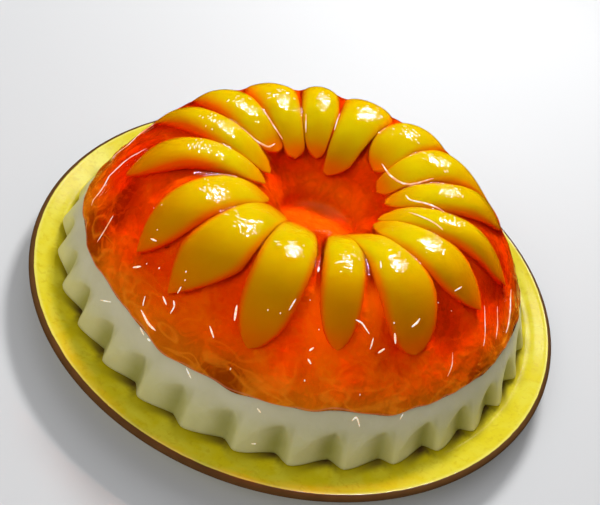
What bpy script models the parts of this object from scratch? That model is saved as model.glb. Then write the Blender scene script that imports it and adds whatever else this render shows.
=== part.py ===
"""A moulded fruit jelly turned out on its plate.

From the bottom up: a shallow glazed plate, a fluted layer of milk jelly, a domed ring of
orange jelly with a bowl-like well in its middle, and a crown of peach slices set in the
dome's top. Metres, +Z up; the origin is on the table, under the middle of the plate.
"""
import math

import bmesh
import bpy
from mathutils import Vector

# Driving dimensions, in metres
GAP = 0.0003
RIM_RADIUS = 0.130
RIM_HEIGHT = 0.017

# Plate
PLATE_SEGMENTS = 48
PLATE_THICKNESS = 0.0047
PLATE_FLOOR_HEIGHT = RIM_HEIGHT - 0.0037
PLATE_FLOOR_RADIUS = 0.1175
LIP_THICKNESS = 0.0032
FOOT_RADIUS = 0.0840
FOOT_WIDTH = 0.0046
FOOT_EDGE = 0.0008

# Milk layer
FLUTES = 34
FIRST_FLUTE_HEADING = math.radians(268.2)
MILK_BASE_RADIUS = 0.1162
MILK_BASE_HEIGHT = PLATE_FLOOR_HEIGHT + GAP
MILK_TOP_RADIUS = 0.1031
MILK_TOP_HEIGHT = RIM_HEIGHT + 0.0189
MILK_FOOT_TUCK = 0.0008
FLUTE_DEPTH = 0.0040
FLUTE_TOP_LEVEL = 0.72
# Places along one flute, with how deep each lies: a narrow rib, then a groove past the middle
FLUTE_SHAPE = ((-0.08, 0.0), (0.08, 0.0), (0.58, 1.0))
MILK_LEVELS = (0.0, 0.07, 0.3, 0.52, FLUTE_TOP_LEVEL, 1.0)

# Orange jelly: outer wall, crown and well
DOME_SEGMENTS = 64
JELLY_BASE_HEIGHT = MILK_TOP_HEIGHT + GAP
CROWN_RADIUS = 0.0625
CROWN_HEIGHT = RIM_HEIGHT + 0.0529
OUTER_FULLNESS = 0.98
WELL_RADIUS = 0.0180
WELL_FLOOR_HEIGHT = RIM_HEIGHT + 0.0240
WELL_DIP = 0.0016
WELL_FULLNESS = 0.60
WALL_STEPS = 7

# The soft layers sag out a little on one side, less at the foot, which the plate holds
SAG = 0.0032
SAG_HEADING = math.radians(197)
SAG_SPREAD = math.radians(20)
SAG_AT_FOOT = 0.4

# Peach slices
SLICE_COUNT = 16
SLICE_DEPTH = 0.0140
SLICE_PROUD = 0.0033
SLICE_TIP_PROUD = 0.0002
SLICE_EDGE_SUNK = 0.0004
SLICE_SPACING = 0.0010
SLICE_STATIONS = 7
SLICE_TAPER_IN = 2.2
SLICE_TAPER_OUT = 3.2
# One row per slice: heading of its well end, of its crest and of its outer end in degrees,
# its width in millimetres, and the radii of its well end and its outer end in millimetres.
SLICES = (
    (108, 105, 103, 19, 28, 90),
    (130, 128, 126, 28, 28, 88),
    (146, 150, 150, 25, 32, 91),
    (171, 173, 169, 19, 27, 93),
    (188, 194, 198, 20, 27, 89),
    (213, 223, 225, 22, 27, 93),
    (237, 244, 240, 32, 27, 94),
    (260, 265, 264, 22, 27, 95),
    (295, 287, 285, 17, 27, 90),
    (304, 308, 306, 26, 27, 92),
    (341, 330, 333, 23, 27, 89),
    (352, 350, 351, 17, 27, 93),
    (375, 372, 376, 19, 29, 92),
    (394, 396, 384, 27, 28, 90),
    (414, 417, 412, 25, 33, 89),
    (454, 443, 445, 30, 23, 88),
)

GLAZE = (0.72, 0.62, 0.10, 1.0)
MILK = (0.62, 0.58, 0.40, 1.0)
ORANGE = (0.70, 0.13, 0.01, 1.0)
PEACH = (0.80, 0.42, 0.02, 1.0)


def clear_scene():
    for obj in list(bpy.data.objects):
        bpy.data.objects.remove(obj, do_unlink=True)


def make_material(name, colour, roughness):
    material = bpy.data.materials.new(name)
    material.use_nodes = True
    shader = material.node_tree.nodes["Principled BSDF"]
    shader.inputs["Base Color"].default_value = colour
    shader.inputs["Roughness"].default_value = roughness
    shader.inputs["Metallic"].default_value = 0.0
    material.diffuse_color = colour
    return material


def add_object(name, bm, material, sharp_angle=40.0):
    mesh = bpy.data.meshes.new(name)
    bmesh.ops.recalc_face_normals(bm, faces=bm.faces)
    bm.to_mesh(mesh)
    bm.free()
    mesh.shade_smooth()
    mesh.set_sharp_from_angle(angle=math.radians(sharp_angle))
    mesh.materials.append(material)
    obj = bpy.data.objects.new(name, mesh)
    bpy.context.scene.collection.objects.link(obj)
    return obj


def turn(profile, segments):
    """Turn a closed (radius, height) outline into a solid around Z."""
    bm = bmesh.new()
    verts = [bm.verts.new((radius, 0.0, height)) for radius, height in profile]
    edges = [bm.edges.new(pair) for pair in zip(verts, verts[1:])]
    if profile[0][0] > 0.0:
        edges.append(bm.edges.new((verts[-1], verts[0])))
    bmesh.ops.spin(bm, geom=verts + edges, cent=(0, 0, 0), axis=(0, 0, 1),
                   angle=math.tau, steps=segments, use_merge=True)
    bmesh.ops.remove_doubles(bm, verts=bm.verts, dist=0.00001)
    return bm


def plate_profile():
    """Underside from the axis out over the foot to the lip, then the upper side back in."""
    lip = RIM_HEIGHT - LIP_THICKNESS
    under = PLATE_FLOOR_HEIGHT - PLATE_THICKNESS
    foot_inside = FOOT_RADIUS - FOOT_WIDTH
    return (
        (0.0, under),
        (foot_inside - 0.004, under),
        (foot_inside, FOOT_EDGE),
        (foot_inside + FOOT_EDGE, 0.0),
        (FOOT_RADIUS - FOOT_EDGE, 0.0),
        (FOOT_RADIUS, FOOT_EDGE),
        (FOOT_RADIUS + 0.003, 0.55 * under),
        (0.70 * PLATE_FLOOR_RADIUS + 0.30 * RIM_RADIUS, under + 0.0002),
        (RIM_RADIUS - 0.0040, lip - 0.0012),
        (RIM_RADIUS - 0.0008, lip + 0.0006),
        (RIM_RADIUS, lip + 0.5 * LIP_THICKNESS),
        (RIM_RADIUS - 0.0008, RIM_HEIGHT - 0.0004),
        (RIM_RADIUS - 0.0022, RIM_HEIGHT),
        (RIM_RADIUS - 0.0046, RIM_HEIGHT - 0.0007),
        (PLATE_FLOOR_RADIUS + 0.0040, PLATE_FLOOR_HEIGHT + 0.0015),
        (PLATE_FLOOR_RADIUS, PLATE_FLOOR_HEIGHT),
        (0.0, PLATE_FLOOR_HEIGHT),
    )


def make_plate(material):
    return add_object("plate", turn(plate_profile(), PLATE_SEGMENTS), material)


def flute_depth(level):
    """Depth of the flutes: full at the foot of the milk layer (0), gone below its top (1)."""
    return FLUTE_DEPTH * (1.0 - min(level / FLUTE_TOP_LEVEL, 1.0) ** 1.6)


def milk_radius(level):
    """The wall leans in, a little rounded, and its foot is tucked under."""
    lean = MILK_BASE_RADIUS + (MILK_TOP_RADIUS - MILK_BASE_RADIUS) * level ** 1.15
    return lean - (MILK_FOOT_TUCK if level == 0.0 else 0.0)


def sag(heading):
    """How far the soft layers reach out beyond their plain round at a heading."""
    turn_angle = (heading - SAG_HEADING + math.pi) % math.tau - math.pi
    return SAG * math.exp(-(turn_angle / SAG_SPREAD) ** 2)


def fluted_ring(radius, depth, sag_share):
    """Outline of a zigzag ring, counter-clockwise from above."""
    points = []
    for flute in range(FLUTES):
        for place, cut in FLUTE_SHAPE:
            heading = FIRST_FLUTE_HEADING + math.tau * (flute + place) / FLUTES
            reach = radius - depth * cut + sag_share * sag(heading)
            points.append((reach * math.cos(heading), reach * math.sin(heading)))
    return points


def by_heading(points, read):
    return sorted(points, key=lambda point: math.atan2(read(point)[1], read(point)[0]))


def make_milk_layer(material):
    bm = bmesh.new()
    columns = FLUTES * len(FLUTE_SHAPE)
    ring = bmesh.ops.create_circle(bm, cap_ends=True, segments=columns, radius=1.0)["verts"]
    edges = bm.edges[:]
    for level in MILK_LEVELS:
        if level > 0.0:
            raised = bmesh.ops.extrude_edge_only(bm, edges=edges)["geom"]
            ring = [item for item in raised if isinstance(item, bmesh.types.BMVert)]
            edges = [item for item in raised if isinstance(item, bmesh.types.BMEdge)]
        height = MILK_BASE_HEIGHT + (MILK_TOP_HEIGHT - MILK_BASE_HEIGHT) * level
        sag_share = SAG_AT_FOOT if level == 0.0 else 1.0
        outline = fluted_ring(milk_radius(level), flute_depth(level), sag_share)
        ring = by_heading(ring, lambda vert: vert.co)
        for vert, (x, y) in zip(ring, by_heading(outline, lambda point: point)):
            vert.co = (x, y, height)
    bmesh.ops.edgeloop_fill(bm, edges=edges)
    return add_object("milk_layer", bm, material, 30.0)


def dome_height(radius):
    """Height of the orange jelly's upper surface at a distance from the axis."""
    if radius >= CROWN_RADIUS:
        reach = (radius - CROWN_RADIUS) / (MILK_TOP_RADIUS - CROWN_RADIUS)
        fullness, low = OUTER_FULLNESS, JELLY_BASE_HEIGHT
    else:
        reach = (CROWN_RADIUS - radius) / (CROWN_RADIUS - WELL_RADIUS)
        fullness, low = WELL_FULLNESS, WELL_FLOOR_HEIGHT
    return low + (CROWN_HEIGHT - low) * (1.0 - min(reach, 1.0) ** 2) ** fullness


def sagged(radius, heading):
    """Distance from the axis at which a point of the plain dome ends up."""
    share = max((radius - CROWN_RADIUS) / (MILK_TOP_RADIUS - CROWN_RADIUS), 0.0)
    return radius + share * share * sag(heading)


def dome_profile():
    """Closed outline of the jelly, from the axis under it round to the well's floor."""
    points = [(0.0, JELLY_BASE_HEIGHT)]
    for step in range(WALL_STEPS):
        turn_angle = 0.5 * math.pi * step / WALL_STEPS
        points.append((
            CROWN_RADIUS + (MILK_TOP_RADIUS - CROWN_RADIUS) * math.cos(turn_angle),
            JELLY_BASE_HEIGHT
            + (CROWN_HEIGHT - JELLY_BASE_HEIGHT) * math.sin(turn_angle) ** (2.0 * OUTER_FULLNESS),
        ))
    for step in range(WALL_STEPS, -1, -1):
        turn_angle = 0.5 * math.pi * step / WALL_STEPS
        points.append((
            CROWN_RADIUS - (CROWN_RADIUS - WELL_RADIUS) * math.cos(turn_angle),
            WELL_FLOOR_HEIGHT
            + (CROWN_HEIGHT - WELL_FLOOR_HEIGHT) * math.sin(turn_angle) ** (2.0 * WELL_FULLNESS),
        ))
    points.append((0.7 * WELL_RADIUS, WELL_FLOOR_HEIGHT - 0.8 * WELL_DIP))
    points.append((0.0, WELL_FLOOR_HEIGHT - WELL_DIP))
    return points


def between(values, share):
    """Smooth heading through the well end (-1), the crest (0) and the outer end (1)."""
    start, middle, end = values
    return middle + 0.5 * (end - start) * share + (0.5 * (start + end) - middle) * share * share


def slice_heading(index, share):
    row = SLICES[index % SLICE_COUNT]
    turns = 360 * (index // SLICE_COUNT)
    return math.radians(between(row[:3], share) + turns)


def slice_radius(index, share):
    inner, outer = (0.001 * value for value in SLICES[index % SLICE_COUNT][4:])
    middle = 0.5 * (outer + inner)
    return middle + (outer - middle) * math.sin(0.5 * math.pi * share)


def slice_half_widths(index, share):
    """Room to each side: its own crescent, or half the space to its neighbour."""
    taper = SLICE_TAPER_IN if share < 0.0 else SLICE_TAPER_OUT
    own = 0.0005 * SLICES[index][3] * (1.0 - abs(share) ** taper) ** 0.8
    radius = slice_radius(index, share)
    heading = slice_heading(index, share)
    room_right = 0.5 * (heading - slice_heading(index - 1, share)) * radius
    room_left = 0.5 * (slice_heading(index + 1, share) - heading) * radius
    return (max(min(own, room_right - 0.5 * SLICE_SPACING), 0.0),
            max(min(own, room_left - 0.5 * SLICE_SPACING), 0.0))


def slice_section(index, share, grow):
    """Rounded back above, wedge below: (across, up) points, counter-clockwise."""
    right, left = slice_half_widths(index, share)
    right, left = right + grow, left + grow
    fullness = (1.0 - share * share) ** 0.8
    top = SLICE_TIP_PROUD + SLICE_PROUD * fullness + grow
    edge = -SLICE_EDGE_SUNK * fullness
    bottom = -SLICE_DEPTH * fullness - grow
    return (
        (-right, edge), (-0.5 * right, 0.55 * bottom), (0.0, bottom), (0.5 * left, 0.55 * bottom),
        (left, edge), (0.6 * left, 0.72 * top), (0.0, top), (-0.6 * right, 0.72 * top),
    )


def slice_centre(index, share):
    radius = slice_radius(index, share)
    heading = slice_heading(index, share)
    reach = sagged(radius, heading)
    return Vector((reach * math.cos(heading), reach * math.sin(heading), dome_height(radius)))


def slice_frame(index, share):
    """Across and up directions of a slice at one station."""
    step = 0.02
    before = slice_centre(index, max(share - step, -1.0))
    after = slice_centre(index, min(share + step, 1.0))
    along = (after - before).normalized()
    heading = slice_heading(index, share)
    sideways = Vector((-math.sin(heading), math.cos(heading), 0.0))
    up = along.cross(sideways).normalized()
    across = up.cross(along).normalized()
    return across, up, along


def add_slice(bm, index, grow=0.0):
    """One crescent of peach along the dome, with its rounded back upwards."""
    rings = []
    for station in range(1, SLICE_STATIONS + 1):
        share = -1.0 + 2.0 * station / (SLICE_STATIONS + 1)
        centre = slice_centre(index, share)
        across, up, _ = slice_frame(index, share)
        section = slice_section(index, share, grow)
        rings.append([bm.verts.new(centre + across * x + up * y) for x, y in section])
    for lower, upper in zip(rings, rings[1:]):
        bmesh.ops.bridge_loops(bm, edges=ring_edges(bm, lower) + ring_edges(bm, upper))
    for ring, share in ((rings[0], -1.0), (rings[-1], 1.0)):
        _, up, along = slice_frame(index, share)
        tip = slice_centre(index, share) + up * SLICE_TIP_PROUD + along * share * grow
        apex = bm.verts.new(tip)
        for first, second in zip(ring, ring[1:] + ring[:1]):
            bm.faces.new((first, second, apex))
    bmesh.ops.triangulate(bm, faces=bm.faces, quad_method="FIXED")


def ring_edges(bm, ring):
    edges = []
    for pair in zip(ring, ring[1:] + ring[:1]):
        edges.append(bm.edges.get(pair) or bm.edges.new(pair))
    return edges


def make_slice(index, material):
    bm = bmesh.new()
    add_slice(bm, index)
    return add_object(f"peach_slice_{index + 1:02d}", bm, material, 60.0)


def make_pocket(index, material):
    """The room that one slice takes in the jelly, a little larger than the slice."""
    bm = bmesh.new()
    add_slice(bm, index, GAP)
    pocket = add_object(f"pocket_{index + 1:02d}", bm, material)
    pocket.hide_render = True
    pocket.display_type = "WIRE"
    return pocket


def make_orange_jelly(material):
    bm = turn(dome_profile(), DOME_SEGMENTS)
    for vert in bm.verts:
        radius = math.hypot(vert.co.x, vert.co.y)
        if radius > CROWN_RADIUS:
            grow = sagged(radius, math.atan2(vert.co.y, vert.co.x)) / radius
            vert.co.x *= grow
            vert.co.y *= grow
    jelly = add_object("orange_jelly", bm, material)
    for index in range(SLICE_COUNT):
        cut = jelly.modifiers.new(f"pocket {index + 1}", "BOOLEAN")
        cut.operation = "DIFFERENCE"
        cut.solver = "EXACT"
        cut.object = make_pocket(index, material)
    return jelly


def main():
    clear_scene()
    make_plate(make_material("glaze", GLAZE, 0.25))
    make_milk_layer(make_material("milk", MILK, 0.35))
    make_orange_jelly(make_material("orange", ORANGE, 0.15))
    peach = make_material("peach", PEACH, 0.2)
    for index in range(SLICE_COUNT):
        make_slice(index, peach)


if __name__ == "__main__":
    main()
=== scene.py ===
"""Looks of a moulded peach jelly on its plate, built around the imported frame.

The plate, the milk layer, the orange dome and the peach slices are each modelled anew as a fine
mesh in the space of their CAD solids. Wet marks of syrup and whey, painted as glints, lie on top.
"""
import math
import random

import bmesh
import bpy
import numpy as np
from bpy.props import FloatProperty, FloatVectorProperty, IntProperty, PointerProperty
from mathutils import Matrix, Vector, noise


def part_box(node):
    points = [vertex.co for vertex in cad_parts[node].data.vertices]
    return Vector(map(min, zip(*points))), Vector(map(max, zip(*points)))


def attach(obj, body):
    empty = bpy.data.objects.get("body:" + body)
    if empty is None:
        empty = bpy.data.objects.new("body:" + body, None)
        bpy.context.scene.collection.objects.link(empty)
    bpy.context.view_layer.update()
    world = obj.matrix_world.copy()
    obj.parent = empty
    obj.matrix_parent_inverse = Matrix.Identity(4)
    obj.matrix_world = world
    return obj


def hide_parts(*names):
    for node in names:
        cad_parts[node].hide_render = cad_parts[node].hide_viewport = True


bl_info = {
    "name": "Peach Crown Jelly",
    "version": (1, 0, 0),
    "blender": (4, 5, 0),
    "location": "3D View > Sidebar > Jelly",
    "description": "Models a moulded peach jelly with its plate, its wet finish and its stage",
    "category": "Add Mesh",
}

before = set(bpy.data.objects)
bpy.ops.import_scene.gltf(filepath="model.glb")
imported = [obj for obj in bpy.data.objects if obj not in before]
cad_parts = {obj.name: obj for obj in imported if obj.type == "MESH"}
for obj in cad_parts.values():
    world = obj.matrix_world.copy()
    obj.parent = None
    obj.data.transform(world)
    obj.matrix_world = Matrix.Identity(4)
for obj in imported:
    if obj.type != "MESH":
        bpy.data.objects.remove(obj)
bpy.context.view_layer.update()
_, PLATE_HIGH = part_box("plate")
MILK_LOW, MILK_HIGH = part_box("milk_layer")
JELLY_LOW, JELLY_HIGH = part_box("orange_jelly")

MM = 0.001

# Steps along the dome's outline, outside and inside its highest line.
OUTER_STEPS, WELL_STEPS = 84, 56

# The milk layer's flutes: how many, where the first starts, and how they draw in upwards.
FLUTES = 34
FIRST_FLUTE = math.radians(268.2)
FLUTE_TAPER = 1.15

# How gently two slices give way to each other, in metres.
SLICE_BLEND = 0.0007

# The soft layers' sag to one side: its reach, its heading, how far round it goes, and its
# share at the foot. The crown leans the same way.
SAG = 0.0032
SAG_HEADING = math.radians(197)
SAG_SPREAD = math.radians(20)
SAG_AT_FOOT = 0.4
CROWN_LEAN = 0.0016

# How far the well's floor rises towards the front, on the skin and on the inner body, and
# the least gap between these two.
WELL_TILT, CORE_WELL_TILT = 0.14, 0.06
CORE_GAP = 0.0003

# The camera's tilt down and its roll in radians, and its place in plate radii over the rim.
CAMERA_TILT, CAMERA_ROLL = 0.751, 0.313
CAMERA_PLACE = Vector((-0.004, -2.015, 1.806))

# Size in metres, then heading and elevation in degrees and distance, of each soft light.
WINDOW_BEHIND = ((0.25, 0.13), (84, 47, 1.05))
OVERHEAD = ((2.4, 2.4), (95, 62, 2.6))
IN_FRONT = ((1.8, 1.8), (234, 42, 2.6))
LIGHTS_AIM = Vector((0.0, 0.0, 0.04))

# One row per slice: heading of its well end, its crest and its outer end in degrees, its
# width, and the radii of its well end and its outer end in millimetres, where along it the
# belly lies (0 at the well), how blunt its tip is, and how far its back leans sideways.
SLICES = (
    (108, 105, 103, 19, 28, 90, 0.45, 3.0, 0.0),
    (130, 128, 126, 28, 28, 88, 0.50, 2.5, 0.1),
    (146, 150, 150, 25, 32, 91, 0.40, 2.3, 0.2),
    (170, 172, 168, 19, 27, 93, 0.50, 1.8, 0.1),
    (188, 194, 198, 20, 27, 89, 0.66, 2.3, 0.3),
    (213, 223, 225, 22, 27, 93, 0.66, 2.3, 0.2),
    (237, 244, 240, 32, 27, 94, 0.58, 1.9, 0.1),
    (260, 265, 264, 22, 27, 95, 0.66, 3.6, 0.0),
    (295, 287, 285, 17, 27, 90, 0.61, 3.8, 0.0),
    (304, 308, 306, 26, 27, 92, 0.62, 4.2, -0.1),
    (341, 330, 333, 23, 27, 89, 0.55, 2.6, -0.2),
    (352, 350, 351, 17, 27, 93, 0.45, 3.0, -0.2),
    (375, 372, 376, 19, 29, 92, 0.65, 3.0, -0.1),
    (394, 396, 384, 27, 28, 90, 0.50, 2.1, 0.0),
    (414, 417, 412, 25, 33, 89, 0.50, 2.2, 0.0),
    (454, 443, 445, 30, 23, 88, 0.45, 2.2, 0.0),
)

# Nicks and beads of syrup on the jelly's wall, drawn as painted glints: half width in hundredths
# of a millimetre, then places as (heading in degrees, radius in millimetres).
WALL_GLINT_NICKS = (
    (24, (236, 98), (237, 100)),
    (25, (240, 95), (242, 96)),
    (32, (243, 94), (244, 95), (244, 97)),
    (28, (243, 92), (243, 90)),
    (30, (242, 86)),
    (26, (243, 88)),
    (30, (237, 101), (240, 102), (243, 102)),
    (30, (228, 96), (230, 94)),
    (26, (227, 87), (229, 86)),
    (26, (254, 94), (256, 96)),
    (46, (258, 86), (259, 90)),
    (28, (272, 78), (271, 82)),
    (28, (279, 90), (278, 91)),
    (28, (278, 93), (279, 94)),
    (40, (277, 61), (277, 64)),
    (30, (289, 81), (291, 82), (293, 85)),
    (26, (294, 86), (293, 89)),
    (27, (295, 90), (297, 89)),
    (46, (300, 85), (300, 88)),
    (38, (305, 84), (307, 83), (308, 82)),
    (26, (324, 78), (327, 78)),
    (26, (301, 59), (300, 62)),
)

# Long runs of syrup, painted as glints, in the same form.
SYRUP_GLINT_RUNS = (
    (26, (334, 88), (331, 93), (328, 97)),
    (26, (340, 92), (335, 99)),
    (44, (352, 95), (347, 98), (341, 101)),
    (22, (317, 94), (316, 97), (314, 99)),
    (34, (171, 88), (176, 95), (182, 100)),
    (32, (191, 81), (193, 91), (197, 98), (201, 101)),
    (26, (211, 94), (214, 101)),
    (34, (210, 58), (207, 49), (204, 41)),
    (38, (140, 53), (140, 43), (138, 36)),
    (34, (161, 48), (160, 40), (155, 35), (147, 35)),
    (44, (52, 37), (37, 36), (25, 40), (25, 53)),
    (34, (13, 38), (6, 41), (1, 54)),
    (30, (352, 40), (347, 47), (343, 57)),
    (24, (96, 42), (95, 52)),
    (20, (117, 38), (115, 48)),
)

# Where light gathers inside the wall: heading in degrees, radius and size in millimetres.
GLOWS = ((281, 83, 13), (297, 72, 8))

# Waves in the line where the orange jelly ends: how many go round, height and phase.
FOOT_WAVES = ((3, 0.0006, 0.3), (7, 0.0005, 1.9), (13, 0.0005, 2.5), (22, 0.0004, 0.7),
              (41, 0.0002, 1.1))

# Runs of whey on the milk layer, painted as glints: half width in hundredths of a millimetre,
# then places as (heading in degrees, level from its foot to its top).
WHEY_GLINT_RUNS = (
    (22, (226, 0.7), (229, 0.85)),
    (26, (239, 0.95), (241, 0.9)),
    (34, (242, 0.9), (243, 0.9)),
    (24, (253, 0.9), (255, 0.8)),
    (30, (290, 0.85), (291, 0.9), (292, 0.75)),
    (24, (271, 0.2), (272, 0.2)),
    (22, (270, 0.8), (271, 0.75)),
    (24, (301, 0.8), (302, 0.9)),
)


def length(name, description, default, low=0.0, high=1.0):
    return FloatProperty(name=name, description=description, default=default,
                         min=low, max=high, unit="LENGTH", subtype="DISTANCE", precision=4)


def share(name, description, default, low=0.0, high=1.0):
    return FloatProperty(name=name, description=description, default=default,
                         min=low, max=high, subtype="FACTOR")


def number(name, description, default, low=0.0, high=1000.0, unit="NONE"):
    return FloatProperty(name=name, description=description, default=default,
                         min=low, max=high, unit=unit)


def colour(name, description, default):
    return FloatVectorProperty(name=name, description=description, default=default,
                               size=3, min=0.0, max=1.0, subtype="COLOR")


class PlateSettings(bpy.types.PropertyGroup):
    radius: length("Radius", "Radius of the rim", PLATE_HIGH.x)
    height: length("Height", "Height of the rim over the table", PLATE_HIGH.z)
    floor_height: length("Floor", "Height of the plate's floor", PLATE_HIGH.z - 0.0037)
    floor_radius: length("Floor radius", "Where the floor starts to rise", 0.1175)
    thickness: length("Thickness", "Thickness of the floor", 0.0047)
    lip: length("Lip", "Thickness of the lip", 0.0032)
    foot_radius: length("Foot", "Radius of the foot ring", 0.0840)
    lip_band: length("Lip band", "Width of the brown band round the lip", 0.0019)
    glaze: colour("Glaze", "Main colour of the glaze", (0.70, 0.58, 0.008))
    glaze_pale: colour("Pale glaze", "Colour of the glaze's paler clouds", (0.72, 0.63, 0.035))
    glaze_deep: colour("Deep glaze", "Colour where the glaze has pooled", (0.58, 0.43, 0.004))
    # Painted shadow: the shade that the jelly casts on the plate round its foot, drawn into the
    # glaze.
    pool: colour("Pool", "Colour of the wet glaze beside the jelly", (0.48, 0.385, 0.002))
    # Painted shade: dark contact shade on the plate between two ribs of the milk layer.
    rib_contact_shade: colour("Corner", "Colour of the syrup between two ribs", (0.075, 0.040, 0.010))
    # Painted highlight: a pale line along the inside of the brown lip.
    line: colour("Line", "Colour of the fine line inside the lip", (0.80, 0.72, 0.16))
    band: colour("Lip colour", "Brown of the lip", (0.085, 0.036, 0.010))


class MilkSettings(bpy.types.PropertyGroup):
    foot_radius: length("Foot radius", "Reach of the ribs at the foot", 0.1162)
    top_radius: length("Top radius", "Radius under the orange jelly", JELLY_HIGH.x)
    flute_depth: length("Flute depth", "Depth of the grooves at the foot", 0.0042)
    flute_top: share("Flute top", "Level at which the grooves end", 0.66)
    groove: share("Groove", "Place of the groove between two ribs", 0.72)
    cream: colour("Cream", "Colour of the ribs near the foot", (0.70, 0.655, 0.33))
    upper: colour("Upper milk", "Colour under the orange jelly", (0.69, 0.635, 0.43))
    # Painted shade: the olive colour of the grooves' shaded sides towards the foot.
    whey: colour("Whey", "Colour where it is clearer, in the grooves", (0.30, 0.28, 0.04))


class JellySettings(bpy.types.PropertyGroup):
    radius: length("Radius", "Radius at the foot of the dome", JELLY_HIGH.x)
    crown_radius: length("Crown radius", "Radius of the ring's highest line", 0.0625)
    crown_height: length("Crown height", "Height of the ring's highest line",
                         PLATE_HIGH.z + 0.0529)
    outer_fullness: number("Outer fullness", "Roundness of the outer wall", 0.98, 0.3, 2.0)
    well_radius: length("Well radius", "Radius of the well's floor", 0.0180)
    well_height: length("Well height", "Height of the well's floor", PLATE_HIGH.z + 0.0240)
    well_fullness: number("Well fullness", "Roundness of the well's wall", 0.60, 0.3, 2.0)
    strength: number("Strength", "How fast depth darkens the jelly", 260.0)
    clear: length("Clear depth", "Depth of the clear skin over the inner body", 0.0075)
    depth: colour("Depth", "Colour that the clear skin's depth leaves", (0.998, 0.68, 0.10))
    skin: colour("Skin", "Tint of the clear skin", (1.0, 1.0, 0.98))
    skin_deep: colour("Deep skin", "Tint of the clear skin's deeper clouds", (1.0, 0.93, 0.80))
    # Painted light and shade choose among the next four colours, darkest first.
    hollow_shade: colour("Hollow", "Colour of the jelly's darkest hollows", (0.40, 0.07, 0.001))
    deep: colour("Deep", "Colour where the jelly is thick", (0.72, 0.19, 0.004))
    body: colour("Body", "Main colour of the jelly", (0.92, 0.23, 0.004))
    thin: colour("Thin", "Colour where light comes through", (1.0, 0.36, 0.005))
    streak: colour("Streak", "Colour of the bright streaks near the foot", (1.0, 0.38, 0.02))
    edge: colour("Edge", "Colour of the thin rim over the milk layer", (1.0, 0.34, 0.16))


class SliceSettings(bpy.types.PropertyGroup):
    proud: length("Proud", "How far a slice's back stands out of the jelly", 0.0033)
    film: length("Film", "Thickness of the jelly over a slice's back", 0.0003)
    depth: length("Depth", "How deep a slice goes into the jelly", 0.0120)
    edge_cover: length("Edge cover", "Depth of the jelly over a slice's edges", 0.0012)
    dive: length("Dive", "How far the outer end dips into the jelly", 0.0022)
    spacing: length("Spacing", "Least gap between two slices", 0.0004)
    flesh: colour("Flesh", "Colour of the fruit", (0.63, 0.54, 0.002))
    ripe: colour("Ripe", "Colour of its riper patches", (0.63, 0.47, 0.001))
    # Outer ends: partly the jelly's tint, partly painted shade where slices turn from the light.
    under: colour("Outer end", "Colour of the outer ends, steeped in jelly", (0.68, 0.40, 0.001))
    # Sunk edges: partly the jelly's tint, partly painted shade on flanks turned from the light.
    sunk_and_shaded: colour("Sunk edge", "Colour where an outer edge is lost in the jelly",
                 (0.90, 0.15, 0.001))


class WetSettings(bpy.types.PropertyGroup):
    # Wet marks are drawn with painted glints: bright and dim patches of colour that glow a little.
    beads: IntProperty(name="Beads", description="Number of loose beads on the wall", default=16,
                       min=0)
    sparkles: IntProperty(name="Sparkles", description="Tiny ripples on each slice", default=20,
                          min=0)
    bead_size: length("Bead size", "Radius of a loose bead", 0.00026)
    seed: IntProperty(name="Seed", description="Seed of the beads' places", default=7)
    bright: colour("Bright mark", "Colour of a wet mark that catches the light",
                   (1.0, 0.96, 0.90))
    dim: colour("Dim mark", "Colour of a wet mark's dimmer patches", (1.0, 0.66, 0.40))
    run_bright: colour("Bright run", "Colour of a run of syrup that catches the light",
                       (1.0, 0.90, 0.78))
    run_dim: colour("Dim run", "Colour of a run's dimmer patches", (1.0, 0.46, 0.20))


class StageSettings(bpy.types.PropertyGroup):
    floor: colour("Floor", "Colour of the floor", (0.66, 0.66, 0.665))
    key_power: number("Key light", "Power of the high light behind", 8.5, unit="POWER")
    top_power: number("Top light", "Power of the light overhead", 13.4, unit="POWER")
    fill_power: number("Fill light", "Power of the soft light in front", 24.0, unit="POWER")
    sky: share("Sky", "Brightness of the surroundings", 0.26, 0.0, 5.0)
    sky_tint: colour("Sky tint", "Colour of the surroundings", (0.93, 0.96, 1.0))


SETTINGS = (
    ("plate_settings", PlateSettings), ("milk_settings", MilkSettings),
    ("jelly_settings", JellySettings), ("slice_settings", SliceSettings),
    ("wet_settings", WetSettings), ("stage_settings", StageSettings),
)


# Meshes

def smooth_line(points, per_span):
    """A smooth line through given points, with the same points kept on it."""
    pts = [Vector(point) for point in points]
    pts = [2 * pts[0] - pts[1]] + pts + [2 * pts[-1] - pts[-2]]
    line = []
    for a, b, c, d in zip(pts, pts[1:], pts[2:], pts[3:]):
        for step in range(per_span):
            t = step / per_span
            line.append(0.5 * (2 * b + (c - a) * t + (2 * a - 5 * b + 4 * c - d) * t * t
                               + (3 * b - a - 3 * c + d) * t ** 3))
    line.append(pts[-2])
    return line


def new_mesh(name, create, **sizes):
    """A mesh of one plain shape."""
    bm = bmesh.new()
    create(bm, **sizes)
    mesh = bpy.data.meshes.new(name)
    bm.to_mesh(mesh)
    bm.free()
    return mesh


def ball_mesh(name, segments, rings):
    return new_mesh(name, bmesh.ops.create_uvsphere, u_segments=segments, v_segments=rings,
                    radius=1.0)


def face_outward(mesh, join=0.0):
    """Turn every face outward, after joining points that lie closer than a distance."""
    bm = bmesh.new()
    bm.from_mesh(mesh)
    if join:
        bmesh.ops.remove_doubles(bm, verts=bm.verts, dist=join)
    bmesh.ops.recalc_face_normals(bm, faces=bm.faces)
    bm.to_mesh(mesh)
    bm.free()


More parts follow.
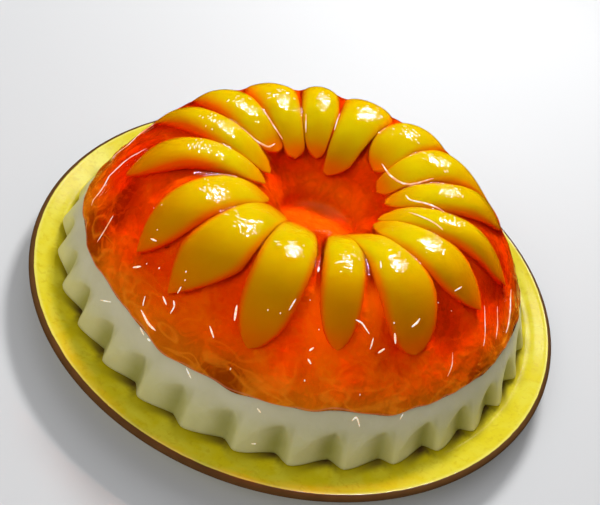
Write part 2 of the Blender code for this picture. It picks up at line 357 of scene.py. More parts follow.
def turned_mesh(name, outline, steps):
    """Wrap a flat grid round the axis, along (radius, height) points whose ends lie on it."""
    spans = len(outline) - 1
    mesh = new_mesh(name, bmesh.ops.create_grid, x_segments=steps, y_segments=spans, size=1.0)
    flat = get_points(mesh)
    line = np.array([(point[0], point[1]) for point in outline])
    row = np.rint((flat[:, 1] + 1.0) * 0.5 * spans).astype(int)
    heading = np.rint((flat[:, 0] + 1.0) * 0.5 * steps) * math.tau / steps
    set_points(mesh, from_polar(np.maximum(line[row, 0], 0.0), heading, line[row, 1]))
    face_outward(mesh, 0.01 * MM)
    return mesh


def get_points(mesh):
    flat = np.empty(len(mesh.vertices) * 3, np.float32)
    mesh.vertices.foreach_get("co", flat)
    return flat.reshape(-1, 3).astype(float)


def set_points(mesh, points):
    mesh.vertices.foreach_set("co", points.astype(np.float32).ravel())
    mesh.update()


def polar(points):
    """Distance from the axis, and heading."""
    return np.hypot(points[:, 0], points[:, 1]), np.arctan2(points[:, 1], points[:, 0])


def from_polar(radius, heading, height):
    return np.stack((radius * np.cos(heading), radius * np.sin(heading), height), -1)


def turn_between(start, heading):
    """The short way round from one heading to another."""
    return np.mod(heading - start + math.pi, math.tau) - math.pi


def store(mesh, name, values):
    attribute = mesh.attributes.new(name, "FLOAT", "POINT")
    attribute.data.foreach_set("value", np.asarray(values, np.float32))


def add_object(name, data):
    obj = bpy.data.objects.new(name, data)
    bpy.context.scene.collection.objects.link(obj)
    return obj


def add_piece(name, mesh, material, slot, *nodes):
    mesh.shade_smooth()
    mesh.materials.append(material)
    obj = add_object(name, mesh)
    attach(obj, "root")
    if nodes:
        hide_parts(*nodes)


def lumps(points, scale, seed):
    """Soft noise at each point, about -1 to 1."""
    shift = Vector((seed * 3.1, seed * 1.7, seed * 2.3))
    return np.array([noise.noise(Vector(p) * scale + shift) for p in points])


def soft_most(first, second, blend):
    """The larger of two heights, with a rounded change from one to the other."""
    gap = first - second
    return 0.5 * (first + second + np.sqrt(gap * gap + blend * blend))


def ease(value, low, high):
    t = np.clip((value - low) / (high - low), 0.0, 1.0)
    return t * t * (3.0 - 2.0 * t)


# Shape of the dome and of the slices

def dome_height(radius, jelly):
    """Height of the dome's surface at a distance from the axis."""
    radius = np.asarray(radius, float)
    outside = radius >= jelly.crown_radius
    span = np.where(outside, jelly.radius - jelly.crown_radius,
                    jelly.crown_radius - jelly.well_radius)
    fullness = np.where(outside, jelly.outer_fullness, jelly.well_fullness)
    low = np.where(outside, JELLY_LOW.z, jelly.well_height)
    reach = np.clip(np.abs(radius - jelly.crown_radius) / span, 0.0, 1.0)
    return low + (jelly.crown_height - low) * (1.0 - reach * reach) ** fullness


def dome_normal(radius, jelly):
    """Outward and upward share of the dome's normal at a distance from the axis."""
    step = 0.0004
    rise = dome_height(radius + step, jelly) - dome_height(radius - step, jelly)
    slope = np.clip(rise / (2 * step), -6.0, 6.0)
    size = np.sqrt(1.0 + slope * slope)
    return -slope / size, 1.0 / size


def dome_outline(jelly):
    """From the axis under the jelly, round its foot, over the crown, into the well."""
    crown, top = jelly.crown_radius, jelly.crown_height
    low, well = JELLY_LOW.z, jelly.well_height
    points = [(radius, low - 0.0008) for radius in np.linspace(0.0, jelly.radius - 0.003, 8)]
    for angle in np.linspace(0.0, 0.5 * math.pi, OUTER_STEPS)[:-1]:
        rise = math.sin(angle) ** (2.0 * jelly.outer_fullness)
        points.append((crown + (jelly.radius - crown) * math.cos(angle), low + (top - low) * rise))
    for angle in np.linspace(0.5 * math.pi, 0.0, WELL_STEPS):
        rise = math.sin(angle) ** (2.0 * jelly.well_fullness)
        points.append((crown - (crown - jelly.well_radius) * math.cos(angle),
                       well + (top - well) * rise))
    return points + [(radius, well) for radius in np.linspace(jelly.well_radius, 0.0, 12)[1:]]


def slice_heading(index, along):
    """Heading of a slice's middle line, from its well end (-1) to its outer end (1)."""
    start, middle, end = SLICES[index % len(SLICES)][:3]
    turns = 360 * (index // len(SLICES))
    bend = 0.5 * (start + end) - middle
    return np.radians(middle + 0.5 * (end - start) * along + bend * along * along + turns)


def slice_reach(index):
    """Middle radius and half length of a slice."""
    inner, outer = SLICES[index][4:6]
    return 0.5 * MM * (outer + inner), 0.5 * MM * (outer - inner)


def slice_half_widths(index, along, fruit):
    """Half width to the right and to the left of the middle line."""
    along = np.clip(np.asarray(along, float), -1.0, 1.0)
    width, belly, bluntness = SLICES[index][3], *SLICES[index][6:8]
    middle, half = slice_reach(index)
    radius = middle + half * along
    level = 0.5 * (along + 1.0)
    inner = (1.0 - np.clip(1.0 - level / belly, 0.0, 1.0) ** 2.6) ** 0.6
    outer = 1.0 - np.clip((level - belly) / (1.0 - belly), 0.0, 1.0) ** bluntness
    outer = outer ** (1.02 - 0.12 * bluntness)
    own = 0.5 * MM * width * np.where(level < belly, inner, outer)
    here = slice_heading(index, along)
    right = 0.5 * (here - slice_heading(index - 1, along)) * radius - 0.5 * fruit.spacing
    left = 0.5 * (slice_heading(index + 1, along) - here) * radius - 0.5 * fruit.spacing
    return [np.maximum(-soft_most(-own, -room, SLICE_BLEND), 0.0) for room in (right, left)]


def slice_relief(radius, heading, fruit):
    """Height of the jelly's skin over the slices, and the distance to the nearest slice."""
    relief = np.zeros(len(radius))
    nearest = np.full(len(radius), 1.0)
    for index in range(len(SLICES)):
        middle, half = slice_reach(index)
        along = (radius - middle) / half
        start = slice_heading(index, np.clip(along, -1.0, 1.0))
        across = turn_between(start, heading) * radius
        right, left = slice_half_widths(index, along, fruit)
        width = np.maximum(np.where(across > 0.0, left, right), 1e-7)
        within = (np.abs(across) < width) & (np.abs(along) < 1.0)
        x = np.clip(across / width, -1.0, 1.0)
        bulge = slice_bulge(index, along, x, fruit)
        relief = np.where(within, np.maximum(relief, bulge), relief)
        beyond = np.maximum(np.abs(along) - 1.0, 0.0) * half
        distance = np.hypot(np.maximum(np.abs(across) - width, 0.0), beyond)
        nearest = np.minimum(nearest, np.where(within, np.abs(across) - width, distance))
    return relief, nearest


def slice_bulge(index, along, x, fruit):
    """How far a slice lifts the jelly's skin: most round the crest, nothing at its outer end."""
    fullness = ease(-along, -1.0, -0.25) * (1.0 - 0.85 * ease(-along, 0.05, 0.95))
    across = np.maximum(1.0 - x * x, 0.0) ** 0.75
    return fruit.proud * fullness * across * (1.0 + SLICES[index][8] * x)


def slice_cover(along, x, fruit):
    """Depth of the jelly over a slice: thin on its back, deeper at its edges and outer end."""
    edge = 1.0 - np.sqrt(np.maximum(1.0 - x * x, 0.0))
    return (fruit.film + fruit.edge_cover * edge * (0.25 + 0.75 * ease(along, -0.3, 0.5))
            + fruit.dive * (ease(along, 0.1, 1.1) + 0.7 * ease(-along, 0.4, 1.0)))


def off_dome(radius, heading, offset, jelly):
    """Points over the dome at a radius and a heading, raised square to its surface."""
    outward, upward = dome_normal(radius, jelly)
    return from_polar(radius + offset * outward, heading,
                      dome_height(radius, jelly) + offset * upward)


def sag(heading):
    """How far the soft layers reach out beyond their plain round at a heading."""
    return SAG * np.exp(-(turn_between(SAG_HEADING, heading) / SAG_SPREAD) ** 2)


def settle(points, jelly):
    """The soft dome sags out on one side, and leans a little that way towards its top."""
    radius, heading = polar(points)
    radius = np.maximum(radius, 1e-6)
    reach = np.maximum(radius - jelly.crown_radius, 0.0) / (jelly.radius - jelly.crown_radius)
    points[:, :2] *= (1.0 + reach * reach * sag(heading) / radius)[:, None]
    points[:, 0] -= CROWN_LEAN * ease(points[:, 2], JELLY_LOW.z, jelly.crown_height)


# Materials

class Nodes:
    """Adds and links nodes in one tree."""

    def __init__(self, tree):
        self.tree = tree

    def add(self, kind, **settings):
        made = self.tree.nodes.new(kind)
        for name, value in settings.items():
            setattr(made, name, value)
        return made

    def link(self, source, target):
        self.tree.links.new(source, target)

    def feed(self, socket, value):
        """Fill a socket from another one, from a constant, or from an attribute's name."""
        if isinstance(value, str):
            value = self.add("ShaderNodeAttribute", attribute_name=value).outputs["Fac"]
        if isinstance(value, bpy.types.NodeSocket):
            self.link(value, socket)
        else:
            socket.default_value = value

    def math(self, operation, *values):
        made = self.add("ShaderNodeMath", operation=operation)
        for socket, value in zip(made.inputs, values):
            self.feed(socket, value)
        return made.outputs[0]

    def times(self, first, second):
        return self.math("MULTIPLY", first, second)

    def plus(self, first, second):
        return self.math("ADD", first, second)

    def mix(self, factor, first, second):
        """One colour, and more of a second one as the factor rises."""
        made = self.add("ShaderNodeMix", data_type="RGBA")
        sockets = {item.identifier: item for item in made.inputs}
        self.feed(sockets["Factor_Float"], factor)
        for name, value in (("A_Color", first), ("B_Color", second)):
            is_socket = isinstance(value, bpy.types.NodeSocket)
            self.feed(sockets[name], value if is_socket else (*value, 1.0))
        return next(item for item in made.outputs if item.identifier == "Result_Color")

    def span(self, value, low, high, to_low=0.0, to_high=1.0):
        made = self.add("ShaderNodeMapRange", interpolation_type="SMOOTHSTEP")
        for name, number in (("Value", value), ("From Min", low), ("From Max", high),
                             ("To Min", to_low), ("To Max", to_high)):
            self.feed(made.inputs[name], number)
        return made.outputs[0]

    def group(self, name, make, **values):
        made = self.add("ShaderNodeGroup")
        made.node_tree = bpy.data.node_groups.get(name) or make()
        for name, value in values.items():
            self.feed(made.inputs[name.replace("_", " ")], value)
        return made.outputs[0]

    def stretch(self, vector, scale):
        made = self.add("ShaderNodeMapping")
        made.inputs["Scale"].default_value = scale
        self.link(vector, made.inputs["Vector"])
        return made.outputs[0]

    def grain(self, place, scale, **inputs):
        """Plain noise at a place."""
        made = self.add("ShaderNodeTexNoise")
        for name, value in dict(inputs, Vector=place, Scale=scale).items():
            self.feed(made.inputs[name], value)
        return made.outputs["Fac"]

    def clouds(self, place, scale, low, high, drift=0.6):
        return self.group("Clouds", clouds_group, Coordinates=place, Scale=scale, Drift=drift,
                          Low=low, High=high)

    def wet_skin(self, place, dimples, grain, grain_share):
        return self.group("Wet Skin", wet_group, Coordinates=place, Dimples=dimples, Grain=grain,
                          Grain_Share=grain_share)

    def position(self):
        return self.add("ShaderNodeTexCoord").outputs["Object"]


def new_group(name, output, **inputs):
    """A shader node group with coordinates and numbers going in, and one number coming out."""
    tree = bpy.data.node_groups.new(name, "ShaderNodeTree")
    tree.interface.new_socket("Coordinates", in_out="INPUT", socket_type="NodeSocketVector")
    for label, default in inputs.items():
        socket = tree.interface.new_socket(label.replace("_", " "), in_out="INPUT",
                                           socket_type="NodeSocketFloat")
        socket.default_value = default
    tree.interface.new_socket(output, in_out="OUTPUT", socket_type="NodeSocketFloat")
    nodes = Nodes(tree)
    return tree, nodes, nodes.add("NodeGroupInput").outputs, nodes.add("NodeGroupOutput").inputs


def clouds_group():
    """Soft clouds that drift in place: a mask from 0 to 1."""
    tree, nodes, given, result = new_group("Clouds", "Mask", Scale=60.0, Drift=0.6, Low=0.35,
                                           High=0.65)
    grain = nodes.grain(given["Coordinates"], given["Scale"], Distortion=given["Drift"],
                        Detail=3.0)
    nodes.link(nodes.span(grain, given["Low"], given["High"]), result["Mask"])
    return tree


def wet_group():
    """Height of a wet skin: soft dimples with a fine grain on them."""
    tree, nodes, given, result = new_group("Wet Skin", "Height", Dimples=120.0, Grain=900.0,
                                           Grain_Share=0.2)
    dimples = nodes.grain(given["Coordinates"], given["Dimples"], Detail=2.0)
    fine = nodes.grain(given["Coordinates"], given["Grain"], Detail=1.0)
    nodes.link(nodes.plus(dimples, nodes.times(fine, given["Grain Share"])), result["Height"])
    return tree


def new_material(name, **values):
    """A material, its nodes and its shader, with constant values on the shader's sockets."""
    material = bpy.data.materials.new(name)
    material.use_nodes = True
    nodes = Nodes(material.node_tree)
    shader = material.node_tree.nodes["Principled BSDF"]
    for label, value in values.items():
        shader.inputs[label.replace("_", " ")].default_value = value
    return material, nodes, shader


def add_bump(nodes, shader, height, distance):
    bump = nodes.add("ShaderNodeBump")
    bump.inputs["Strength"].default_value = 1.0
    bump.inputs["Distance"].default_value = distance
    nodes.link(height, bump.inputs["Height"])
    nodes.link(bump.outputs["Normal"], shader.inputs["Normal"])


def glaze_material(plate):
    """Mottled citron glaze that thins to brown on the lip."""
    material, nodes, shader = new_material("citron_glaze", Roughness=0.5, Coat_Roughness=0.12,
                                           Specular_IOR_Level=0.04)
    place = nodes.position()
    specks = nodes.clouds(place, 420.0, 0.50, 0.72)
    tone = nodes.mix(nodes.clouds(place, 90.0, 0.38, 0.66), plate.glaze, plate.glaze_pale)
    tone = nodes.mix(nodes.times(specks, 0.5), tone, plate.glaze_deep)
    # Painted shadow of the jelly on the plate round its foot.
    tone = nodes.mix(nodes.times("pool", 0.8), tone, plate.pool)
    # Painted contact shade between two ribs, where they meet the plate.
    tone = nodes.mix("rib_contact_shade", tone, plate.rib_contact_shade)
    # A painted highlight line inside the lip.
    tone = nodes.mix(nodes.times("line", 0.6), tone, plate.line)
    ragged = nodes.grain(place, 160.0)
    wander = nodes.times(nodes.math("SUBTRACT", ragged, 0.5), 0.5)
    edge = nodes.span(nodes.plus("lip", wander), 0.35, 0.65)
    brown = nodes.mix(ragged, plate.band, [1.8 * part for part in plate.band])
    nodes.link(nodes.mix(edge, tone, brown), shader.inputs["Base Color"])
    nodes.link(nodes.plus(nodes.times(edge, 0.7), 0.04), shader.inputs["Coat Weight"])
    add_bump(nodes, shader, nodes.wet_skin(place, 140.0, 700.0, 0.1), 0.0003)
    return material


def milk_material(milk):
    """Cloudy milk jelly, with painted olive shade in the grooves towards the foot."""
    material, nodes, shader = new_material(
        "milk_jelly", Roughness=0.45, Coat_Weight=0.2, Coat_Roughness=0.12, IOR=1.36,
        Subsurface_Weight=0.7, Subsurface_Scale=0.006, Subsurface_Radius=(1.0, 0.9, 0.6))
    place = nodes.position()
    # The clear mask carries painted shade into the grooves.
    clear = nodes.plus("clear", nodes.times(nodes.clouds(place, 55.0, 0.3, 0.7), 0.12))
    tone = nodes.mix("upper", milk.cream, milk.upper)
    nodes.link(nodes.mix(clear, tone, milk.whey), shader.inputs["Base Color"])
    add_bump(nodes, shader, nodes.wet_skin(place, 170.0, 900.0, 0.15), 0.0005)
    return material


def jelly_material(jelly):
    """Clear orange jelly, deeper in colour where light goes further through it."""
    material, nodes, shader = new_material("orange_jelly", Roughness=0.05, IOR=1.36,
                                           Transmission_Weight=1.0)
    place = nodes.position()
    clouds = nodes.clouds(place, 60.0, 0.36, 0.66, 1.2)
    nodes.link(nodes.mix(clouds, jelly.skin, jelly.skin_deep), shader.inputs["Base Color"])
    skin = nodes.wet_skin(place, 150.0, 600.0, 0.34)
    add_bump(nodes, shader, nodes.times(skin, "rippled"), 0.0007)
    depth = nodes.add("ShaderNodeVolumeAbsorption")
    depth.inputs["Color"].default_value = (*jelly.depth, 1.0)
    depth.inputs["Density"].default_value = jelly.strength
    out = next(node for node in material.node_tree.nodes if node.type == "OUTPUT_MATERIAL")
    nodes.link(depth.outputs[0], out.inputs["Volume"])
    let_lamps_through(nodes, shader, out)
    return material


def core_material(jelly):
    """The jelly's inside in painted light and shade: dark red in hollows, bright orange on swells.
    """
    material, nodes, shader = new_material("jelly_core", Roughness=0.5, Specular_IOR_Level=0.0,
                                           Emission_Strength=0.26,
                                           Subsurface_Weight=0.3, Subsurface_Scale=0.004,
                                           Subsurface_Radius=(1.0, 0.3, 0.05))
    place = nodes.position()
    clouds = nodes.clouds(place, 110.0, 0.40, 0.64, 2.4)
    light = nodes.plus("light", nodes.times(clouds, 0.30))
    # Painted light and shade pick the core's colour: darkest in hollows and on the shaded sides.
    tone = nodes.mix(nodes.span(light, -0.5, 0.1), jelly.hollow_shade, jelly.deep)
    tone = nodes.mix(nodes.span(light, 0.1, 0.7), tone, jelly.body)
    tone = nodes.mix(nodes.span(light, 0.6, 1.3), tone, jelly.thin)
    # Painted streaks of light near the foot, where light bends through the jelly.
    streaks = nodes.grain(nodes.stretch(place, (1.0, 1.0, 3.0)), 46.0, Detail=1.0, Distortion=1.0)
    ridge = nodes.math("ABSOLUTE", nodes.math("SUBTRACT", streaks, 0.5))
    ridge = nodes.times(nodes.span(ridge, 0.07, 0.0, 0.0, 0.5), "streaky")
    tone = nodes.mix(ridge, tone, jelly.streak)
    tone = nodes.mix("edge", tone, jelly.edge)
    nodes.link(tone, shader.inputs["Base Color"])
    # A painted glow: the core gives off light in its own colour where it is marked to glow.
    lit = nodes.mix("glow", (0.0, 0.0, 0.0), tone)
    nodes.link(lit, shader.inputs["Emission Color"])
    add_bump(nodes, shader, nodes.wet_skin(place, 160.0, 500.0, 0.2), 0.002)
    return material


def let_lamps_through(nodes, shader, out):
    """Lamp light crosses the clear skin unbent, so that what lies inside is lit."""
    path = nodes.add("ShaderNodeLightPath")
    clear = nodes.add("ShaderNodeBsdfTransparent")
    clear.inputs["Color"].default_value = (1.0, 0.98, 0.95, 1.0)
    both = nodes.add("ShaderNodeMixShader")
    nodes.link(path.outputs["Is Shadow Ray"], both.inputs[0])
    nodes.link(shader.outputs[0], both.inputs[1])
    nodes.link(clear.outputs[0], both.inputs[2])
    nodes.link(both.outputs[0], out.inputs["Surface"])


def peach_material(fruit):
    """Tinned peach under a wet film, tinted by the jelly over it and by painted shade."""
    material, nodes, shader = new_material(
        "peach_flesh", Roughness=0.6, IOR=1.38, Specular_IOR_Level=0.0,
        Subsurface_Weight=0.8, Subsurface_Scale=0.008, Subsurface_Radius=(1.0, 0.7, 0.12))
    place = nodes.position()
    patches = nodes.times(nodes.clouds(place, 50.0, 0.35, 0.7), 0.45)
    fibres = nodes.times(nodes.clouds(place, 380.0, 0.45, 0.75), 0.12)
    tone = nodes.mix(nodes.plus(patches, fibres), fruit.flesh, fruit.ripe)
    # Painted shade, with the jelly's tint, on the outer ends and on the slices in front.
    tone = nodes.mix("steeped_and_shaded", tone, fruit.under)
    # Painted shade, with the jelly's tint, on the flanks and ends.
    tone = nodes.mix("sunk_and_shaded", tone, fruit.sunk_and_shaded)
    nodes.link(tone, shader.inputs["Base Color"])
    add_bump(nodes, shader, nodes.wet_skin(place, 200.0, 600.0, 0.3), 0.0002)
    return material


def shining_material(name, scale, bright, dim, glow):
    """A wet mark with a painted highlight: bright and dim patches at random, glowing a little."""
    material, nodes, shader = new_material(
        name, Roughness=0.12, IOR=1.4, Emission_Strength=glow,
        Subsurface_Weight=0.3, Subsurface_Scale=0.001)
    tone = nodes.mix(nodes.clouds(nodes.position(), scale, 0.35, 0.65), bright, dim)
    nodes.link(tone, shader.inputs["Base Color"])
    nodes.link(tone, shader.inputs["Emission Color"])
    return material


# Pieces

def plate_outline(plate):
    """Underside from the axis out over the foot to the lip, then the upper side back in."""
    low = plate.height - plate.lip
    under = plate.floor_height - plate.thickness
    inside = plate.foot_radius - 0.0046
    rim, top = plate.radius, plate.height
    below = ((0.0, under), (0.4 * inside, under), (inside - 0.0045, under),
             (inside - 0.0012, 0.6 * under), (inside, 0.0008), (inside + 0.0012, 0.0),
             (plate.foot_radius - 0.0012, 0.0), (plate.foot_radius, 0.0008),
             (plate.foot_radius + 0.003, 0.55 * under), (plate.foot_radius + 0.012, 0.92 * under),
             (0.7 * plate.floor_radius + 0.3 * rim, under + 0.0004))
    lip = ((rim - 0.0040, low - 0.0010), (rim - 0.0009, low + 0.0006), (rim, low + 0.0017),
           (rim - 0.0007, top - 0.0004), (rim - 0.0022, top), (rim - 0.0042, top - 0.0007))
    above = ((plate.floor_radius + 0.0045, plate.floor_height + 0.0017),
             (plate.floor_radius, plate.floor_height + 0.0002),
             (0.95 * plate.floor_radius, plate.floor_height),
             (0.9 * plate.floor_radius, plate.floor_height),
             (0.4 * plate.floor_radius, plate.floor_height), (0.0, plate.floor_height))
    return smooth_line(below + lip + above, 5)


def make_plate(plate, milk):
    mesh = turned_mesh("glazed_plate", plate_outline(plate), FLUTES * 12)
    points = get_points(mesh)
    radius, heading = polar(points)
    start = plate.radius - plate.lip_band
    outer = ease(radius, start - 0.0012, start + 0.0004)
    below = ease(-points[:, 2], -(plate.height - 0.0016), -(plate.height - 0.0028))
    lip = np.maximum(outer, below * ease(radius, plate.radius - 0.012, plate.radius - 0.003))
    store(mesh, "lip", lip)
    # Painted highlight: a pale line along the inner edge of the brown lip.
    line = np.exp(-((radius - start + 0.0008) / 0.0006) ** 2)
    store(mesh, "line", line * ease(points[:, 2], plate.height - 0.003, plate.height - 0.001))
    cut = flute_cut(heading, np.zeros(len(points)), milk)
    # Painted shadow that the jelly casts on the plate, fading out from the ribs' foot.
    away = radius - milk.foot_radius + cut + 0.0012 * lumps(points, 80.0, 6)
    away -= SAG_AT_FOOT * sag(heading)
    above = ease(points[:, 2], plate.floor_height - 0.002, plate.floor_height - 0.001)
    store(mesh, "pool", above * (1.0 - ease(away, 0.0, 0.0070)))
    # Painted contact shade in the corner between two ribs and the plate.
    store(mesh, "rib_contact_shade", above * np.clip(cut / milk.flute_depth, 0.0, 1.0)
          * (1.0 - ease(away, 0.0005, 0.0040)))
    add_piece("glazed_plate", mesh, glaze_material(plate), "glaze", "plate")


def milk_outline(milk):
    low, high = MILK_LOW.z, MILK_HIGH.z
    points = [(radius, low) for radius in np.linspace(0.0, milk.foot_radius - 0.008, 6)]
    points += [(milk.foot_radius - 0.0022, low), (milk.foot_radius - 0.0007, low + 0.0003)]
    for level in np.linspace(0.03, 0.97, 34):
        reach = milk.foot_radius + (milk.top_radius - milk.foot_radius) * level ** FLUTE_TAPER
        points.append((reach, low + (high - low) * level))
    points += [(milk.top_radius - 0.0008, high)]
    points += [(radius, high) for radius in np.linspace(milk.top_radius - 0.006, 0.0, 5)]
    return points


def flute_place(heading):
    """Number of the flute at a heading, and the place across it from one rib to the next."""
    turn = (heading - FIRST_FLUTE) * FLUTES / math.tau - 0.15 * np.sin(heading - FIRST_FLUTE)
    number = np.floor(turn)
    return number.astype(int) % FLUTES, turn - number


def flute_cut(heading, level, milk):
    """Depth of the grooves: sharp ribs, round grooves that narrow into an arch."""
    number, place = flute_place(heading)
    rng = random.Random(5)
    groove = np.array([milk.groove + rng.uniform(-0.04, 0.04) for _ in range(FLUTES)])[number]
    depth = np.array([rng.uniform(0.85, 1.15) for _ in range(FLUTES)])[number]
    side = np.where(place < groove, place / groove, (1.0 - place) / (1.0 - groove))
    side = ease(side, -0.25, 1.2) * 1.2 - 0.16
    lift = (np.clip(level, 0.0, 1.0) / milk.flute_top) ** 3.2
    open_share = side - lift
    return milk.flute_depth * depth * soft_most(open_share, 0.0, 0.10)


def groove_side(heading, milk):
    """1 where a flute runs into its groove, and 0 on the rest of it."""
    _, place = flute_place(heading)
    return ease(place, milk.groove - 0.48, milk.groove - 0.06) * (1.0 - ease(place, 0.90, 1.0))


def make_milk_layer(milk):
    mesh = turned_mesh("milk_layer_fluted", milk_outline(milk), FLUTES * 18)
    points = get_points(mesh)
    radius, heading = polar(points)
    level = (points[:, 2] - MILK_LOW.z) / (MILK_HIGH.z - MILK_LOW.z)
    wall = ease(radius, 0.6 * milk.top_radius, 0.95 * milk.top_radius)
    cut = flute_cut(heading, level, milk) * wall
    uneven = lumps(points, 70.0, 3) * 0.0005 * wall * ease(1.0 - level, 0.0, 0.2)
    bulge = sag(heading) * (SAG_AT_FOOT + (1.0 - SAG_AT_FOOT) * ease(level, 0.0, 0.12)) * wall
    points[:, :2] *= ((radius - cut + uneven + bulge) / np.maximum(radius, 1e-6))[:, None]
    set_points(mesh, points)
    groove = np.clip(cut / milk.flute_depth, 0.0, 1.0)
    arch = ease(milk.flute_top - level, -0.10, 0.12)
    # Painted shade on the side of each flute that runs into its groove, below the arch.
    store(mesh, "clear", (0.32 + 0.44 * groove) * arch * groove_side(heading, milk))
    store(mesh, "upper", ease(level, 0.25, 0.85))
    add_piece("milk_layer_fluted", mesh, milk_material(milk), "milk", "milk_layer")


def skin_offset(radius, heading, jelly, fruit):
    """How far the jelly's skin stands off the plain dome, and the distance to a slice."""
    points = off_dome(radius, heading, np.zeros(len(radius)), jelly)
    relief, gap = slice_relief(radius, heading, fruit)
    crease = -0.6 * np.clip(gap, 0.0, 0.0024) * ease(-radius, -0.082, -0.066)
    crease *= ease(radius, 0.026, 0.040)
    dip = -0.0006 * ease(gap, 0.0006, 0.0050) * ease(radius, 0.030, 0.045)
    dip *= ease(-radius, -0.096, -0.078)
    uneven = 0.0005 * lumps(points, 45.0, 11) + 0.0003 * lumps(points, 110.0, 4)
    outside = ease(radius, 0.9 * jelly.crown_radius, 0.9 * jelly.radius)
    uneven += outside * wrinkles(points, heading)
    offset = relief + crease + dip + uneven * ease(gap, -0.003, 0.004)
    return offset + 0.00015 * lumps(points, 120.0, 9), gap


def raise_dome(points, offset, tilt, jelly):
    """Lift a turned dome's upper side off its plain shape, and dish the floor of its well."""
    radius, heading = polar(points)
    raised = off_dome(radius, heading, offset, jelly)
    raised[:, 2] += points[:, 2] - dome_height(radius, jelly)
    raised[:, 2] += well_share(radius, jelly) * well_dip(points, tilt)
    return np.where(points[:, 2:] > JELLY_LOW.z, raised, points)


def make_orange_jelly(jelly, fruit):
    mesh = turned_mesh("orange_jelly_dome", dome_outline(jelly), 600)
    points = get_points(mesh)
    radius, heading = polar(points)
    offset, _ = skin_offset(radius, heading, jelly, fruit)
    points = raise_dome(points, offset, WELL_TILT, jelly)
    hang_foot(points, heading, jelly)
    settle(points, jelly)
    set_points(mesh, points)
    store(mesh, "rippled", 1.0 - 0.8 * well_share(radius, jelly))
    add_piece("orange_jelly_dome", mesh, jelly_material(jelly), "orange", "orange_jelly")


def well_share(radius, jelly):
    """1 on the well's floor, fading to 0 up its wall."""
    return 1.0 - ease(radius, 1.02 * jelly.well_radius, 1.5 * jelly.well_radius)


def well_dip(points, tilt):
    """The well's floor is a shallow bowl that rises a little towards the front."""
    return -tilt * points[:, 1] - 0.0008 + 0.0003 * lumps(points, 90.0, 5)


def wrinkles(points, heading):
    """Soft pleats that run down the outer wall, where the jelly slid out of its mould."""
    rows = np.stack((np.cos(heading) * 3.2, np.sin(heading) * 3.2, points[:, 2] * 24.0), -1)
    folds = np.abs(lumps(rows, 3.0, 21))
    return 0.0012 * (0.35 - folds)


def make_core(jelly, fruit):
    """The inner body of the jelly: the same dome, drawn in by a few millimetres and swollen."""
    mesh = turned_mesh("orange_jelly_core", dome_outline(jelly), 360)
    points = get_points(mesh)
    radius, heading = polar(points)
    upper = points[:, 2] > JELLY_LOW.z
    offset, gap = skin_offset(radius, heading, jelly, fruit)
    inside = ease(-radius, -jelly.radius, -0.86 * jelly.radius)
    folds = 1.0 - 2.6 * np.abs(lumps(points, 42.0, 31))
    swell = (0.0022 * folds + 0.0014 * lumps(points, 85.0, 17)) * inside
    swell *= 0.15 + 0.85 * ease(gap, -0.002, 0.004)
    in_well = well_share(radius, jelly)
    clear = CORE_GAP + jelly.clear * inside * (1.0 - 0.65 * in_well)
    inner = (1.0 - inside) * offset + swell * (1.0 - in_well) - clear
    points = raise_dome(points, inner, CORE_WELL_TILT, jelly)
    store(mesh, "edge", 0.7 * ease(JELLY_LOW.z - points[:, 2], -0.0006, 0.0) * upper)
    hang_foot(points, heading, jelly)
    settle(points, jelly)
    set_points(mesh, points)
    light_core(mesh, points, (radius, heading), folds, gap, jelly)
    add_piece("orange_jelly_core", mesh, core_material(jelly), "orange")


def light_core(mesh, points, place, folds, gap, jelly):
    """Say where the inner body is light, where it glows and where it is streaky."""
    radius, heading = place
    outside = ease(radius, 0.75 * jelly.crown_radius, jelly.crown_radius)
    front = ease(-np.sin(heading), 0.45, 0.95)
    light = 0.50 + 0.5 * folds * (0.3 + 0.7 * outside) - 0.32 * (1.0 - front) * outside
    light -= (0.15 + 0.75 * ease(-points[:, 1], -0.004, 0.018)) * (1.0 - outside)
    glow = gathered_light(radius, heading)
    height = points[:, 2] - JELLY_LOW.z
    light += 0.65 * glow - 0.6 * ease(-height, -0.014, -0.002) * outside
    store(mesh, "light", light)
    store(mesh, "glow", glow)
    store(mesh, "streaky", ease(-height, -0.026, -0.008) * outside * ease(gap, 0.0, 0.004))


def gathered_light(radius, heading):
    """Soft spots of light inside the wall."""
    glow = np.zeros(len(radius))
    for spot_heading, spot_radius, size in GLOWS:
        turn = turn_between(math.radians(spot_heading), heading)
        away = np.hypot(turn * radius, radius - spot_radius * MM) / (size * MM)
        glow += np.exp(-away * away)
    return glow


def hang_foot(points, heading, jelly):
    """The foot of the dome runs a little down over the milk layer, unevenly."""
    radius, _ = polar(points)
    near = ease(JELLY_LOW.z - points[:, 2], -0.004, 0.0)
    near *= ease(radius, jelly.radius - 0.006, jelly.radius - 0.001)
    drop = np.full(len(points), 0.0007)
    for count, height, phase in FOOT_WAVES:
        drop += height * np.sin(count * heading + phase)
    drop *= near
    points[:, 2] -= drop
    spread = (0.0006 * near + 0.80 * np.maximum(drop, 0.0)) / np.maximum(radius, 1e-6)
    points[:, :2] *= (1.0 + spread)[:, None]


